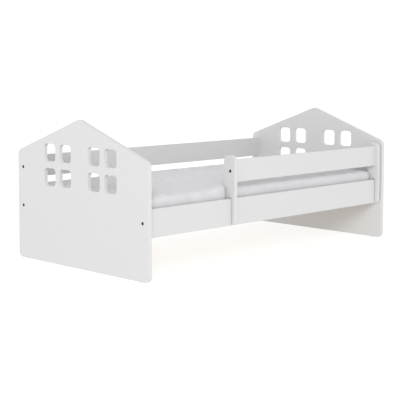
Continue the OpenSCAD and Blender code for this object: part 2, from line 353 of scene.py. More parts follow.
def newObject(name, mesh, material=None):
    piece = bpy.data.objects.new(name, mesh)
    scene.collection.objects.link(piece)
    if material is not None:
        mesh.materials.clear()
        mesh.materials.append(material)
    return piece


def settle(piece, body, slot, *replaced):
    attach(piece, body)
    if replaced:
        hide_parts(*replaced)
    return piece


def mergedCopy(node):
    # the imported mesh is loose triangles, so a copy of it is joined up first
    shape = bmesh.new()
    shape.from_mesh(nodes[node].data)
    bmesh.ops.remove_doubles(shape, verts=shape.verts, dist=0.01 * mm)
    return shape


def smoothByAngle(shape, degrees):
    limit = math.radians(degrees)
    for face in shape.faces:
        face.smooth = True
    for edge in shape.edges:
        edge.smooth = edge.is_manifold and edge.calc_face_angle(0) < limit


def islands(shape):
    # the starts are sorted, because a set of mesh elements has another order in each run
    left = set(shape.verts)
    for start in sorted(shape.verts, key=lambda v: tuple(v.co)):
        if start not in left:
            continue
        left.remove(start)
        todo = [start]
        found = [start]
        while todo:
            for edge in todo.pop().link_edges:
                for vert in edge.verts:
                    if vert in left:
                        left.remove(vert)
                        todo.append(vert)
                        found.append(vert)
        yield np.array([v.co for v in found])


def solidsOf(node):
    # each fastener of a node: the middle of its head, and the way that its head points
    shape = mergedCopy(node)
    places = []
    for points in islands(shape):
        low, high = points.min(0), points.max(0)
        axis = int(np.argmax(high - low))
        across = [i for i in range(3) if i != axis]
        edge = 0.1 * (high[axis] - low[axis])
        atLow = points[points[:, axis] < low[axis] + edge]
        atHigh = points[points[:, axis] > high[axis] - edge]
        wideLow = np.ptp(atLow[:, across[0]])
        wideHigh = np.ptp(atHigh[:, across[0]])
        way = -1 if wideLow > wideHigh else 1
        middle = (low + high) / 2
        middle[axis] = high[axis] if way > 0 else low[axis]
        aim = [0, 0, 0]
        aim[axis] = way
        radii = sorted((wideLow / 2, wideHigh / 2))
        places.append((tuple(middle), tuple(aim), high[axis] - low[axis], radii[1]))
    shape.free()
    return sorted(places)


def ring(radius, height, count, squash=None):
    # squash(angle) scales the radius, for sockets and slots
    points = []
    for k in range(count):
        angle = 2 * math.pi * k / count
        r = radius * (squash(angle) if squash else 1)
        points.append((r * math.cos(angle), r * math.sin(angle), height))
    return points


def loft(name, rings, material):
    # joins rings of equal counts from the first to the last and closes both ends
    shape = bmesh.new()
    rows = [[shape.verts.new(p) for p in points] for points in rings]
    for low, high in zip(rows, rows[1:]):
        for k in range(len(low)):
            n = (k + 1) % len(low)
            shape.faces.new((low[k], low[n], high[n], high[k]))
    shape.faces.new(rows[0])
    shape.faces.new(rows[-1])
    bmesh.ops.recalc_face_normals(shape, faces=shape.faces)
    smoothByAngle(shape, 38)
    mesh = bpy.data.meshes.new(name)
    shape.to_mesh(mesh)
    shape.free()
    return newObject(name, mesh, material)


# geometry node trees

def newTree(name, sockets):
    tree = bpy.data.node_groups.new(name, "GeometryNodeTree")
    for label, kind, default in sockets:
        socket = tree.interface.new_socket(name=label, in_out="INPUT", socket_type="NodeSocket" + kind)
        if default is not None:
            socket.default_value = default
    tree.interface.new_socket(name="Geometry", in_out="OUTPUT", socket_type="NodeSocketGeometry")
    bench = Bench(tree)
    return tree, bench, bench.add("NodeGroupInput")


def closeTree(bench, geometry, material):
    whole = bench.add("GeometryNodeRealizeInstances", None, {"Geometry": geometry}).out()
    done = bench.add("GeometryNodeSetMaterial", None, {"Geometry": whole, "Material": material}).out()
    bench.add("NodeGroupOutput", None, {"Geometry": done})


def runTree(name, tree, base, values):
    # evaluates the tree on a base mesh and keeps the plain mesh
    carrier = newObject(name + "Carrier", base)
    modifier = carrier.modifiers.new("tree", "NODES")
    modifier.node_group = tree
    for item in tree.interface.items_tree:
        if item.item_type == "SOCKET" and item.in_out == "INPUT" and item.name in values:
            modifier[item.identifier] = values[item.name]
    bpy.context.view_layer.update()
    seen = carrier.evaluated_get(bpy.context.evaluated_depsgraph_get())
    mesh = bpy.data.meshes.new_from_object(seen)
    mesh.name = name
    carrier.modifiers.clear()
    bpy.data.objects.remove(carrier)
    piece = bpy.data.objects.new(name, mesh)
    scene.collection.objects.link(piece)
    return piece


def scatterTree():
    # sets a copy of one fastener on each point, its head along the point's aim
    tree, bench, given = newTree("fastenersOnPoints", [
        ("Geometry", "Geometry", None), ("Fastener", "Object", None),
        ("Turn Seed", "Int", 3), ("Most Turn", "Float", 3.14), ("Material", "Material", None),
    ])
    fastener = bench.add("GeometryNodeObjectInfo", None,
                         {"Object": given.out("Fastener"), "As Instance": True})
    aim = bench.add("GeometryNodeInputNamedAttribute", {"data_type": "FLOAT_VECTOR"}, {"Name": "aim"})
    along = bench.add("FunctionNodeAlignRotationToVector", {"axis": "Z"}, {"Vector": aim.out()})
    turn = bench.add("FunctionNodeRandomValue", {"data_type": "FLOAT"},
                     {2: 0.0, 3: given.out("Most Turn"), "Seed": given.out("Turn Seed")})
    spin = bench.add("FunctionNodeAxisAngleToRotation", None, {"Angle": turn.out(1)})
    turned = bench.add("FunctionNodeRotateRotation", {"rotation_space": "LOCAL"},
                       {"Rotation": along.out(), "Rotate By": spin.out()})
    copies = bench.add("GeometryNodeInstanceOnPoints", None, {
        "Points": given.out("Geometry"), "Instance": fastener.out("Geometry"), "Rotation": turned.out()})
    closeTree(bench, copies.out(), given.out("Material"))
    return tree


def barsTree():
    # a row of straight bars with rounded arrises, spaced evenly along X
    tree, bench, given = newTree("roundedBars", [
        ("Geometry", "Geometry", None), ("Count", "Int", 13), ("First Place", "Vector", None),
        ("Pitch", "Float", 0.1), ("Width", "Float", 0.07), ("Thickness", "Float", 0.014),
        ("Length", "Float", 0.8), ("Arris Radius", "Float", 0.002), ("Tone Seed", "Int", 5),
        ("Material", "Material", None),
    ])
    outline = bench.add("GeometryNodeCurvePrimitiveQuadrilateral", None,
                        {"Width": given.out("Width"), "Height": given.out("Thickness")})
    eased = bench.add("GeometryNodeFilletCurve", {"mode": "POLY"}, {
        "Curve": outline.out(), "Radius": given.out("Arris Radius"), "Count": 3, "Limit Radius": True})
    half = bench.add("ShaderNodeMath", {"operation": "MULTIPLY"}, {0: given.out("Length"), 1: 0.5}).out()
    low = bench.add("ShaderNodeCombineXYZ", None, {"Y": bench.add(
        "ShaderNodeMath", {"operation": "MULTIPLY"}, {0: half, 1: -1.0}).out()})
    high = bench.add("ShaderNodeCombineXYZ", None, {"Y": half})
    spine = bench.add("GeometryNodeCurvePrimitiveLine", None, {"Start": low.out(), "End": high.out()})
    bar = bench.add("GeometryNodeCurveToMesh", None, {
        "Curve": spine.out(), "Profile Curve": eased.out(), "Fill Caps": True})
    step = bench.add("ShaderNodeCombineXYZ", None, {"X": given.out("Pitch")})
    row = bench.add("GeometryNodeMeshLine", {"mode": "OFFSET"}, {
        "Count": given.out("Count"), "Start Location": given.out("First Place"), "Offset": step.out()})
    copies = bench.add("GeometryNodeInstanceOnPoints", None, {"Points": row.out(), "Instance": bar.out()})
    tone = bench.add("FunctionNodeRandomValue", {"data_type": "FLOAT"}, {"Seed": given.out("Tone Seed")})
    toned = bench.add("GeometryNodeStoreNamedAttribute", {"data_type": "FLOAT", "domain": "INSTANCE"}, {
        "Geometry": copies.out(), "Name": "tone", "Value": tone.out(1)})
    closeTree(bench, toned.out(), given.out("Material"))
    return tree


def beadsTree():
    # sets small rounded beads, such as stitches and zip teeth, end to end along a path
    tree, bench, given = newTree("beadsAlongPath", [
        ("Geometry", "Geometry", None), ("Pitch", "Float", 0.004), ("Bead Size", "Vector", None),
        ("Sides", "Int", 6), ("Rings", "Int", 4), ("Material", "Material", None),
    ])
    path = bench.add("GeometryNodeMeshToCurve", None, {"Mesh": given.out("Geometry")})
    flat = bench.add("GeometryNodeSetCurveNormal", {"mode": "Z_UP"}, {"Curve": path.out()})
    places = bench.add("GeometryNodeCurveToPoints", {"mode": "LENGTH"}, {
        "Curve": flat.out(), "Length": given.out("Pitch")})
    bead = bench.add("GeometryNodeMeshUVSphere", None, {
        "Segments": given.out("Sides"), "Rings": given.out("Rings"), "Radius": 0.5})
    copies = bench.add("GeometryNodeInstanceOnPoints", None, {
        "Points": places.out("Points"), "Instance": bead.out("Mesh"),
        "Rotation": places.out("Rotation"), "Scale": given.out("Bead Size")})
    closeTree(bench, copies.out(), given.out("Material"))
    return tree


fastenerTree = scatterTree()
barTree = barsTree()
beadTree = beadsTree()


def pointMesh(name, places):
    mesh = bpy.data.meshes.new(name)
    mesh.from_pydata([p[0] for p in places], [], [])
    aims = mesh.attributes.new("aim", "FLOAT_VECTOR", "POINT")
    aims.data.foreach_set("vector", [v for p in places for v in p[1]])
    return mesh


def scattered(name, template, places, material, mostTurn, seed=3):
    values = {"Fastener": template, "Turn Seed": seed, "Most Turn": mostTurn, "Material": material}
    return runTree(name, fastenerTree, pointMesh(name + "Points", places), values)


def dropTemplate(template):
    mesh = template.data
    bpy.data.objects.remove(template)
    bpy.data.meshes.remove(mesh)


# camera

cameraPlace = {
    "location": (-3.7815, -3.6788, 0.9235),
    "heading": 45.23,           # degrees from +Y towards +X
    "tilt": 4.31,               # degrees down
    "lens": 97.55,
    "shift": -0.15,
}


def makeCamera():
    data = bpy.data.cameras.new("camera")
    data.lens = cameraPlace["lens"]
    data.sensor_width = 36
    data.shift_y = cameraPlace["shift"]
    data.clip_end = 100
    camera = bpy.data.objects.new("camera", data)
    camera.location = cameraPlace["location"]
    camera.rotation_euler = (
        math.radians(90 - cameraPlace["tilt"]), 0, math.radians(-cameraPlace["heading"]))
    scene.collection.objects.link(camera)
    scene.camera = camera


# light and floor

studio = {
    "skyLow": 1.03,             # the room near the horizon
    "skyHigh": 0.80,            # the room overhead
    "floor": grey(0.30),
    "floorGlow": 0.78,          # the floor is a lit white sweep
    "keyPlace": (-7.9, -7.9, 5.4),
    "keySize": 3.6,
    "keyPower": 600,
}


def makeRoom():
    world = bpy.data.worlds.new("room")
    world.use_nodes = True
    scene.world = world
    bench = Bench(world.node_tree)
    way = bench.add("ShaderNodeTexCoord").out("Generated")
    height = bench.add("ShaderNodeSeparateXYZ", None, {"Vector": way}).out("Z")
    level = bench.ramp(height, [(0.15, grey(studio["skyLow"])), (0.8, grey(studio["skyHigh"]))])
    room = bench.add("ShaderNodeBackground", None, {"Color": level, "Strength": 1.0})
    bench.add("ShaderNodeOutputWorld", None, {"Surface": room.out()})

    data = bpy.data.lights.new("key", "AREA")
    data.size = studio["keySize"]
    data.energy = studio["keyPower"]
    key = bpy.data.objects.new("key", data)
    key.location = studio["keyPlace"]
    toBed = Vector((0, 0, 0.3)) - key.location
    key.rotation_euler = toBed.to_track_quat("-Z", "Y").to_euler()
    scene.collection.objects.link(key)

    material, bench = newMaterial("paleFloor")
    cloud = bench.noise(bench.coords(), 1.5)
    bench.principled({
        "Base Color": bench.mix(cloud * 0.1, studio["floor"], grey(0.4)),
        "Roughness": cloud * 0.1 + 0.75,
        "Specular IOR Level": 0.1,
        "Emission Color": bench.mix(cloud * 0.02, grey(1), grey(0.97)),
        "Emission Strength": studio["floorGlow"],
    })
    shape = bmesh.new()
    bmesh.ops.create_grid(shape, x_segments=4, y_segments=4, size=30)
    mesh = bpy.data.meshes.new("floor")
    shape.to_mesh(mesh)
    shape.free()
    floor = newObject("floor", mesh, material)
    floor.location.z = cadLow.z - 0.1 * mm
    scene.view_settings.view_transform = "Standard"
    scene.view_settings.look = "None"


makeCamera()
makeRoom()
print("camera, light and floor set")


# laminated boards

board = {
    "arris": 1.2 * mm,          # radius of the banded edges
    "cutArris": 0.6 * mm,       # and round the windows and slots
    "steps": 3,
    "smallestRound": 20 * mm,   # cut-outs under this are fitting holes and stay sharp
    "largestWindow": 150 * mm,
}


def longLoops(edges):
    # groups edges that meet, and sorts out the outlines and the windows from the fitting holes
    byVert = {}
    for edge in edges:
        for vert in edge.verts:
            byVert.setdefault(vert, []).append(edge)
    left, outlines, windows = set(edges), [], []
    for start in edges:
        if start not in left:
            continue
        left.remove(start)
        todo = [start]
        group = [start]
        while todo:
            for vert in todo.pop().verts:
                for edge in byVert[vert]:
                    if edge in left:
                        left.remove(edge)
                        todo.append(edge)
                        group.append(edge)
        points = np.array([v.co for e in group for v in e.verts])
        size = np.ptp(points, axis=0).max()
        if size > board["largestWindow"]:
            outlines += group
        elif size > board["smallestRound"]:
            windows += group
    return outlines, windows


def boardPiece(node, body, axis, lengthways):
    # axis is the board's thin way; lengthways boards keep their sawn ends sharp
    shape = mergedCopy(node)
    every = {"verts": shape.verts, "edges": shape.edges}
    bmesh.ops.dissolve_limit(shape, angle_limit=math.radians(0.3), use_dissolve_boundaries=False, **every)
    low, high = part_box(node)
    faceAt = (low[axis], high[axis])
    near = 0.05 * mm

    def onFace(face):
        level = face.calc_center_median()[axis]
        return abs(face.normal[axis]) > 0.999 and min(abs(level - at) for at in faceAt) < near

    arrises = []
    for edge in shape.edges:
        if len(edge.link_faces) != 2:
            continue
        flats = sum(onFace(face) for face in edge.link_faces)
        along = (edge.verts[1].co - edge.verts[0].co).normalized()
        if flats == 1 and (not lengthways or abs(along.x) > 0.99):
            arrises.append(edge)
    outlines, windows = longLoops(arrises)
    for edges, radius in ((outlines, board["arris"]), (windows, board["cutArris"])):
        if edges:
            bmesh.ops.bevel(shape, geom=edges, offset=radius, segments=board["steps"], profile=0.5,
                            affect="EDGES", clamp_overlap=False)
    shape.normal_update()
    layer = shape.faces.layers.float.new("banding")
    for face in shape.faces:
        face[layer] = 0.0 if onFace(face) else 1.0
    bmesh.ops.triangulate(shape, faces=shape.faces)
    smoothByAngle(shape, 35)
    mesh = bpy.data.meshes.new(node)
    shape.to_mesh(mesh)
    shape.free()
    piece = newObject(node + "_board", mesh, boardFinish)
    even = piece.modifiers.new("even", "WEIGHTED_NORMAL")
    even.keep_sharp = True
    return settle(piece, body, "white_laminate", node)


for node in ("foot_panel", "head_panel"):
    boardPiece(node, "frame", 0, False)
for node in ("front_rail", "rear_rail", "rear_guard"):
    boardPiece(node, "frame", 1, True)
for node in ("guard_upright_left", "guard_upright_right"):
    boardPiece(node, "guard", 0, False)
boardPiece("guard_board", "guard", 1, True)
print("boards made")


# slatted base

slats = {
    "arris": 2.0 * mm,
    "seed": 11,
}


def makeSlats():
    names = sorted(n for n in nodes if n.startswith("slat_") and n[5:].isdigit())
    first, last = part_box(names[0]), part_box(names[-1])
    width = first[1].x - first[0].x
    middle = (first[0] + first[1]) / 2
    values = {
        "Count": len(names),
        "First Place": middle,
        "Pitch": (last[0].x - first[0].x) / (len(names) - 1),
        "Width": width,
        "Thickness": first[1].z - first[0].z,
        "Length": first[1].y - first[0].y,
        "Arris Radius": slats["arris"],
        "Tone Seed": slats["seed"],
        "Material": slatWood,
    }
    piece = runTree("slats", barTree, bpy.data.meshes.new("slatsBase"), values)
    shape = bmesh.new()
    shape.from_mesh(piece.data)
    smoothByAngle(shape, 35)
    shape.to_mesh(piece.data)
    shape.free()
    settle(piece, "frame", "pine", *names)
    return names


def makeLedge(node):
    shape = mergedCopy(node)
    every = {"verts": shape.verts, "edges": shape.edges}
    bmesh.ops.dissolve_limit(shape, angle_limit=math.radians(0.3), use_dissolve_boundaries=False, **every)
    low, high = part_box(node)
    corners = [
        e for e in shape.edges
        if e.calc_length() > 0.5 * (high.x - low.x) and e.calc_face_angle(0) > 1.0
    ]
    bmesh.ops.bevel(shape, geom=corners, offset=slats["arris"], segments=3, profile=0.5,
                    affect="EDGES", clamp_overlap=False)
    bmesh.ops.triangulate(shape, faces=shape.faces)
    smoothByAngle(shape, 35)
    mesh = bpy.data.meshes.new(node)
    shape.to_mesh(mesh)
    shape.free()
    piece = newObject(node + "_ledge", mesh, ledgeWood)
    settle(piece, "frame", "pine", node)


strapLook = {
    "sag": 1.2 * mm,            # between two slats
    "stepsPerGap": 6,
    "arris": 0.5 * mm,
}


def makeStrap(node, slatNames):
    low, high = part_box(node)
    spans = [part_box(name) for name in slatNames]
    stations = []
    for index, (slatLow, slatHigh) in enumerate(spans):
        stations += [(slatLow.x, 0.0), ((slatLow.x + slatHigh.x) / 2, 0.0), (slatHigh.x, 0.0)]
        if index + 1 < len(spans):
            gap = spans[index + 1][0].x - slatHigh.x
            for k in range(1, strapLook["stepsPerGap"]):
                share = k / strapLook["stepsPerGap"]
                stations.append((slatHigh.x + share * gap, 4 * share * (1 - share) * strapLook["sag"]))
    arris = strapLook["arris"]
    section = [
        (low.y + arris, high.z), (high.y - arris, high.z), (high.y, high.z - arris),
        (high.y, low.z + arris), (high.y - arris, low.z), (low.y + arris, low.z),
        (low.y, low.z + arris), (low.y, high.z - arris),
    ]
    rings = [[(x, y, z - drop) for y, z in section] for x, drop in stations]
    piece = loft(node + "_webbing", rings, strapWeave)
    settle(piece, "frame", "webbing", node)


slatNames = makeSlats()
for node in ("front_batten", "rear_batten"):
    makeLedge(node)
for node in ("strap_front", "strap_rear"):
    makeStrap(node, slatNames)
print("slatted base made")


# fittings

fittings = {
    "roundness": 24,
    "headEase": 0.8 * mm,       # rounding of a bolt's head
    "threadPitch": 1.0 * mm,
    "threadDepth": 0.35 * mm,
    "socket": 4.0 * mm,         # across the flats
    "socketDepth": 2.4 * mm,
}


def hexagon(angle):
    # radius of a hexagon over its inner radius
    sixth = math.pi / 3
    return 1 / math.cos((angle % sixth) - sixth / 2)


def crossSlot(angle):
    return 0.42 + 0.58 * abs(math.cos(2 * angle)) ** 6


def threadRings(radius, top, bottom, tip):
    # crests and roots down the shank, then a tapered tip
    count = fittings["roundness"]
    pitch = fittings["threadPitch"]
    root = radius - fittings["threadDepth"]
    rings = []
    z = top
    while z > bottom + tip:
        rings.append(ring(radius, z, count))
        rings.append(ring(root, z - pitch / 2, count))
        z -= pitch
    return rings + [ring(root * 0.8, bottom, count)]


def boltTemplate(head, neck, thickness, length):
    # stands on its tip along Z, with the top of its head at the origin
    count = fittings["roundness"]
    ease = fittings["headEase"]
    socket = fittings["socket"] / 2
    rings = [
        ring(socket, -fittings["socketDepth"], count, hexagon),
        ring(socket, -0.3 * mm, count, hexagon),
        ring(socket * 1.16, 0, count),
        ring(head - ease, 0, count),
        ring(head - 0.3 * ease, -0.3 * ease, count),
        ring(head, -ease, count),
        ring(head, -thickness, count),
        ring(neck, -thickness, count),
        ring(neck, -0.45 * length, count),
    ]
    rings += threadRings(neck, -0.45 * length - 0.2 * mm, -length, 1.5 * mm)
    return loft("boltTemplate", rings, darkSteelWithPaintedShade)


def screwTemplate(head, neck, headHeight, length):
    count = fittings["roundness"]
    rings = [
        ring(head * 0.30, -1.4 * mm, count, crossSlot),
        ring(head * 0.52, 0, count, crossSlot),
        ring(head * 0.93, 0, count),
        ring(head, -0.2 * mm, count),
        ring(neck, -headHeight, count),
        ring(neck, -0.3 * length, count),
    ]
    rings += threadRings(neck, -0.3 * length - 0.2 * mm, -length, 4 * mm)
    return loft("screwTemplate", rings, zincPlate)


bolts = {"neck": 3 * mm, "headThickness": 3.6 * mm}
ledgeScrews = {"neck": 2.0 * mm, "headHeight": 2.4 * mm}
slatScrews = {"neck": 1.75 * mm, "headHeight": 2.4 * mm}


def makeBolts(node, body):
    places = solidsOf(node)
    template = boltTemplate(places[0][3], bolts["neck"], bolts["headThickness"], places[0][2])
    piece = scattered(node + "_detail", template, places, darkSteelWithPaintedShade, math.pi / 3)
    dropTemplate(template)
    settle(piece, body, "dark_steel", node)


def makeScrews(node, look):
    places = solidsOf(node)
    template = screwTemplate(places[0][3], look["neck"], look["headHeight"], places[0][2])
    piece = scattered(node + "_detail", template, places, zincPlate, math.pi)
    dropTemplate(template)
    settle(piece, "frame", "zinc_steel", node)


glideLook = {
    "ease": 0.9 * mm,
    "recess": 0.8 * mm,         # round the nail's head
    "nailHead": 3.2 * mm,
    "nailRadius": 1.0 * mm,
    "nailLength": 14 * mm,      # over the disc
    "nailTip": 2 * mm,
}


def makeGlides():
    # discs with eased rims; the nail's head sits in a recess underneath
    shape = mergedCopy("glides")
    places = []
    for points in islands(shape):
        low, high = points.min(0), points.max(0)
        places.append((((low[0] + high[0]) / 2, (low[1] + high[1]) / 2, low[2]), (0, 0, -1)))
        radius, tall = (high[0] - low[0]) / 2, high[2] - low[2]
    shape.free()
    disc = tall - glideLook["nailLength"]
    count, ease = fittings["roundness"], glideLook["ease"]
    rings = [
        ring(glideLook["nailHead"], -glideLook["recess"], count),
        ring(glideLook["nailHead"], 0, count),
        ring(radius - ease, 0, count),
        ring(radius - 0.3 * ease, -0.3 * ease, count),
        ring(radius, -ease, count),
        ring(radius, -disc, count),
        ring(glideLook["nailRadius"], -disc, count),
        ring(glideLook["nailRadius"], -tall + glideLook["nailTip"], count),
        ring(0.1 * mm, -tall, count),
    ]
    template = loft("glideTemplate", rings, glidePlastic)
    piece = scattered("glides_detail", template, places, glidePlastic, math.pi)
    dropTemplate(template)
    settle(piece, "frame", "glide_plastic", "glides")


def finishPlainNodes():
    finishes = {
        "frame_barrel_nuts": zincPlate, "guard_barrel_nuts": zincPlate,
        "frame_dowels": dowelWood, "guard_dowels": dowelWood, "strap_staples": zincPlate,
    }
    for node, material in finishes.items():
        mesh = nodes[node].data
        mesh.materials.clear()
        mesh.materials.append(material)


makeBolts("frame_bolts", "frame")
makeBolts("guard_bolts", "guard")
makeScrews("batten_screws", ledgeScrews)
makeScrews("slat_screws", slatScrews)
makeGlides()
finishPlainNodes()
print("fittings made")


# mattress

mattress = {
    "voxel": 12 * mm,
    "frames": 20,
    "looseness": 0.02,          # spare length in the cover
    "pressure": 3.0,
    "farthestOut": 8 * mm,      # the most that the cloth may move
    "farthestIn": 3 * mm,
    "crown": 3 * mm,
    "footDroop": 24 * mm,       # the top falls away towards its two ends
    "headDroop": 8 * mm,
    "droopReach": 95 * mm,
    "soften": 5,                # rounds of smoothing that round the foam's edges
    "fill": 0.85,
    "plump": 7 * mm,            # how far most of the cloth stands over the foam
    "topRise": 22 * mm,         # and the most that it may
    "sideGap": 1.5 * mm,        # left free to the rails and panels
    "coverThick": 1.5 * mm,
    "edgeRise": 8 * mm,         # the rounding below the top
    "rimHeight": 8 * mm,        # the cloth is held firmly up to here
    "held": 0.3,                # and this much above it
    "foamInset": 10 * mm,
    "foamSoften": 3,
    "lip": 0.5,                 # a fold's raised edge, as a share of its depth
    "wrinkle": 1.5 * mm,
    "ripple": 0.5 * mm,
}

# a sharp crease that the guard's inner leg pushes up: points of its line, its height and its half width
creases = [
    ([(-0.315, -0.395), (-0.283, -0.330), (-0.250, -0.260), (-0.220, -0.193), (-0.180, -0.115),
      (-0.150, -0.045), (-0.150, 0.030)], 14 * mm, 42 * mm),
]

# soft folds in the top, listed in the same way with their depths
folds = [
    ([(-0.330, -0.390), (-0.345, -0.290), (-0.420, -0.190)], 2.4 * mm, 12 * mm),
    ([(-0.700, -0.395), (-0.690, -0.300), (-0.640, -0.210)], 2.2 * mm, 11 * mm),
    ([(-0.630, -0.395), (-0.640, -0.330), (-0.560, -0.240)], 2.0 * mm, 10 * mm),
    ([(-0.740, -0.120), (-0.600, -0.060), (-0.430, -0.050)], 1.8 * mm, 14 * mm),
    ([(0.730, -0.300), (0.640, -0.180), (0.600, -0.020)], 3.0 * mm, 14 * mm),
    ([(0.200, 0.395), (0.170, 0.280), (0.060, 0.190)], 2.2 * mm, 13 * mm),
]

# soft swellings of the top: middle, half width and height
swellings = [
    ((-0.350, -0.375), 0.024, 6.0 * mm),
    ((-0.420, -0.385), 0.045, 3.0 * mm),
    ((-0.250, -0.140), 0.075, 3.0 * mm),
    ((-0.560, -0.300), 0.120, 1.8 * mm),
    ((0.100, 0.050), 0.200, 2.0 * mm),
]


def coordinates(mesh):
    flat = np.empty(len(mesh.vertices) * 3, np.float32)
    mesh.vertices.foreach_get("co", flat)
    return flat.reshape(-1, 3).astype(float)


def pointNormals(mesh):
    flat = np.empty(len(mesh.vertices) * 3, np.float32)
    mesh.vertex_normals.foreach_get("vector", flat)
    return flat.reshape(-1, 3).astype(float)


def setCoordinates(mesh, points):
    mesh.vertices.foreach_set("co", points.astype(np.float32).ravel())
    mesh.update()


def plainMesh(piece, name):
    bpy.context.view_layer.update()
    seen = piece.evaluated_get(bpy.context.evaluated_depsgraph_get())
    mesh = bpy.data.meshes.new_from_object(seen)
    mesh.name = name
    return mesh


def softBlank(name, voxel, rounds, grow):
    # the foam's outline with softly rounded edges, as an even grid of faces, grown outwards
    shape = mergedCopy("mattress_core")
    mesh = bpy.data.meshes.new("mattressBlank")
    shape.to_mesh(mesh)
    shape.free()
    blank = newObject("mattressBlank", mesh)
    remesh = blank.modifiers.new("remesh", "REMESH")
    remesh.mode = "VOXEL"
    remesh.voxel_size = voxel
    soft = blank.modifiers.new("soft", "SMOOTH")
    soft.factor = 0.5
    soft.iterations = rounds
    smooth = plainMesh(blank, name)
    bpy.data.objects.remove(blank)
    setCoordinates(smooth, coordinates(smooth) + pointNormals(smooth) * grow)
    return smooth


def eased(value):
    value = np.clip(value, 0, 1)
    return value * value * (3 - 2 * value)


def topMask(points, low, high):
    # 0 at half height and below, 1 on the top
    middle = (low.z + high.z) / 2
    return eased((points[:, 2] - middle) / (high.z - middle - mattress["edgeRise"]))


def shapeTop(points, low, high):
    middle = (low + high) / 2
    across = 1 - ((points[:, 1] - middle.y) / (high.y - middle.y)) ** 2
    atFoot = 1 - eased((points[:, 0] - low.x) / mattress["droopReach"])
    atHead = 1 - eased((high.x - points[:, 0]) / mattress["droopReach"])
    droop = mattress["footDroop"] * atFoot ** 2 + mattress["headDroop"] * atHead ** 2
    points[:, 2] += topMask(points, low, high) * (mattress["crown"] * np.clip(across, 0, 1) - droop)


def simulateCover(piece):
    # spare cloth over the foam: it swells and buckles, and the foam below holds it loosely
    points = coordinates(piece.data)
    held = piece.vertex_groups.new(name="held")
    lowest = points[:, 2].min()
    for index, height in enumerate(points[:, 2] - lowest):
        held.add([index], 1.0 if height < mattress["rimHeight"] else mattress["held"], "REPLACE")
    cloth = piece.modifiers.new("cloth", "CLOTH")
    settings = cloth.settings
    settings.quality = 5
    settings.mass = 0.25
    settings.tension_stiffness = 12
    settings.compression_stiffness = 12
    settings.shear_stiffness = 4
    settings.bending_stiffness = 0.3
    settings.use_pressure = True
    settings.uniform_pressure_force = mattress["pressure"]
    settings.shrink_min = -mattress["looseness"]
    settings.vertex_group_mass = "held"
    settings.pin_stiffness = 0.5
    settings.effector_weights.gravity = 0
    cloth.collision_settings.use_collision = False
    cloth.point_cache.frame_start = 1
    cloth.point_cache.frame_end = mattress["frames"]
    for number in range(1, mattress["frames"] + 1):
        scene.frame_set(number)
    seen = piece.evaluated_get(bpy.context.evaluated_depsgraph_get())
    moved = coordinates(seen.data) - points
    scene.frame_set(1)
    piece.modifiers.remove(cloth)
    piece.vertex_groups.clear()
    outwards = (moved * pointNormals(piece.data)).sum(1)
    most = np.where(outwards > 0, mattress["farthestOut"], mattress["farthestIn"])
    far = np.linalg.norm(moved, axis=1)
    setCoordinates(piece.data, points + moved * np.minimum(1, most / np.maximum(far, 1e-9))[:, None])
    print("cloth moved", round(float(far.mean()) / mm, 1), "mm on average and",
          round(float(far.max()) / mm, 1), "mm at most")


def lineDistance(points, line):
    # distance to a line of points, and the share of the line's length at the nearest place
    best = np.full(len(points), 9.0)
    share = np.zeros(len(points))
    count = len(line) - 1
    for index in range(count):
        a, b = np.array(line[index]), np.array(line[index + 1])
        t = np.clip(((points - a) @ (b - a)) / ((b - a) @ (b - a)), 0, 1)
        away = np.linalg.norm(points - a - t[:, None] * (b - a), axis=1)
        nearer = away < best
        best[nearer] = away[nearer]
        share[nearer] = (index + t[nearer]) / count
    return best, share


def smoothLine(line, steps):
    # a Catmull-Rom curve through the points
    ends = [line[0]] + list(line) + [line[-1]]
    dense = []
    for k in range(len(line) - 1):
        a, b, c, d = (np.array(q) for q in ends[k:k + 4])
        for i in range(steps):
            t = i / steps
            dense.append(0.5 * (2 * b + (c - a) * t + (2 * a - 5 * b + 4 * c - d) * t * t
                                + (3 * b - a - 3 * c + d) * t ** 3))
    return dense + [np.array(line[-1])]


def foldTop(points, low, high):
    # grooves with a raised lip in front of them, swellings, and slight wrinkles all over
    flat = points[:, :2]
    lift = np.zeros(len(points))
    for line, depth, half in folds:
        away, share = lineDistance(flat, smoothLine(line, 6))
        fade = np.sin(np.pi * np.clip(0.12 + 0.88 * (1 - share), 0, 1)) ** 0.5
        lift -= depth * fade * np.exp(-(away / half) ** 2)
        lift += mattress["lip"] * depth * fade * np.exp(-((away - 1.9 * half) / half) ** 2)
    for line, height, half in creases:
        away, share = lineDistance(flat, smoothLine(line, 6))
        lift += height * eased(1.25 * (1 - share)) * np.exp(-away / half)
    for middle, half, height in swellings:
        away = np.linalg.norm(flat - np.array(middle), axis=1)
        lift += height * np.exp(-(away / half) ** 2)
    for index, (x, y, z) in enumerate(points):
        bend = noise(Vector((x * 5, y * 5, z * 5)))
        ridge = noise(Vector((x * 9 + bend * 2, y * 26 + bend * 3, 1.5)))
        small = noise(Vector((x * 34 + bend, y * 30, z * 30)))
        lift[index] += mattress["wrinkle"] * ridge * (0.4 + bend) + mattress["ripple"] * small
    points[:, 2] += topMask(points, low, high) * lift


def keepInside(points, low, high):
    gap = mattress["sideGap"]
    for axis in (0, 1):
        points[:, axis] = np.clip(points[:, axis], low[axis] + gap, high[axis] - gap)
    points[:, 2] = np.clip(points[:, 2], low.z, high.z + mattress["topRise"])


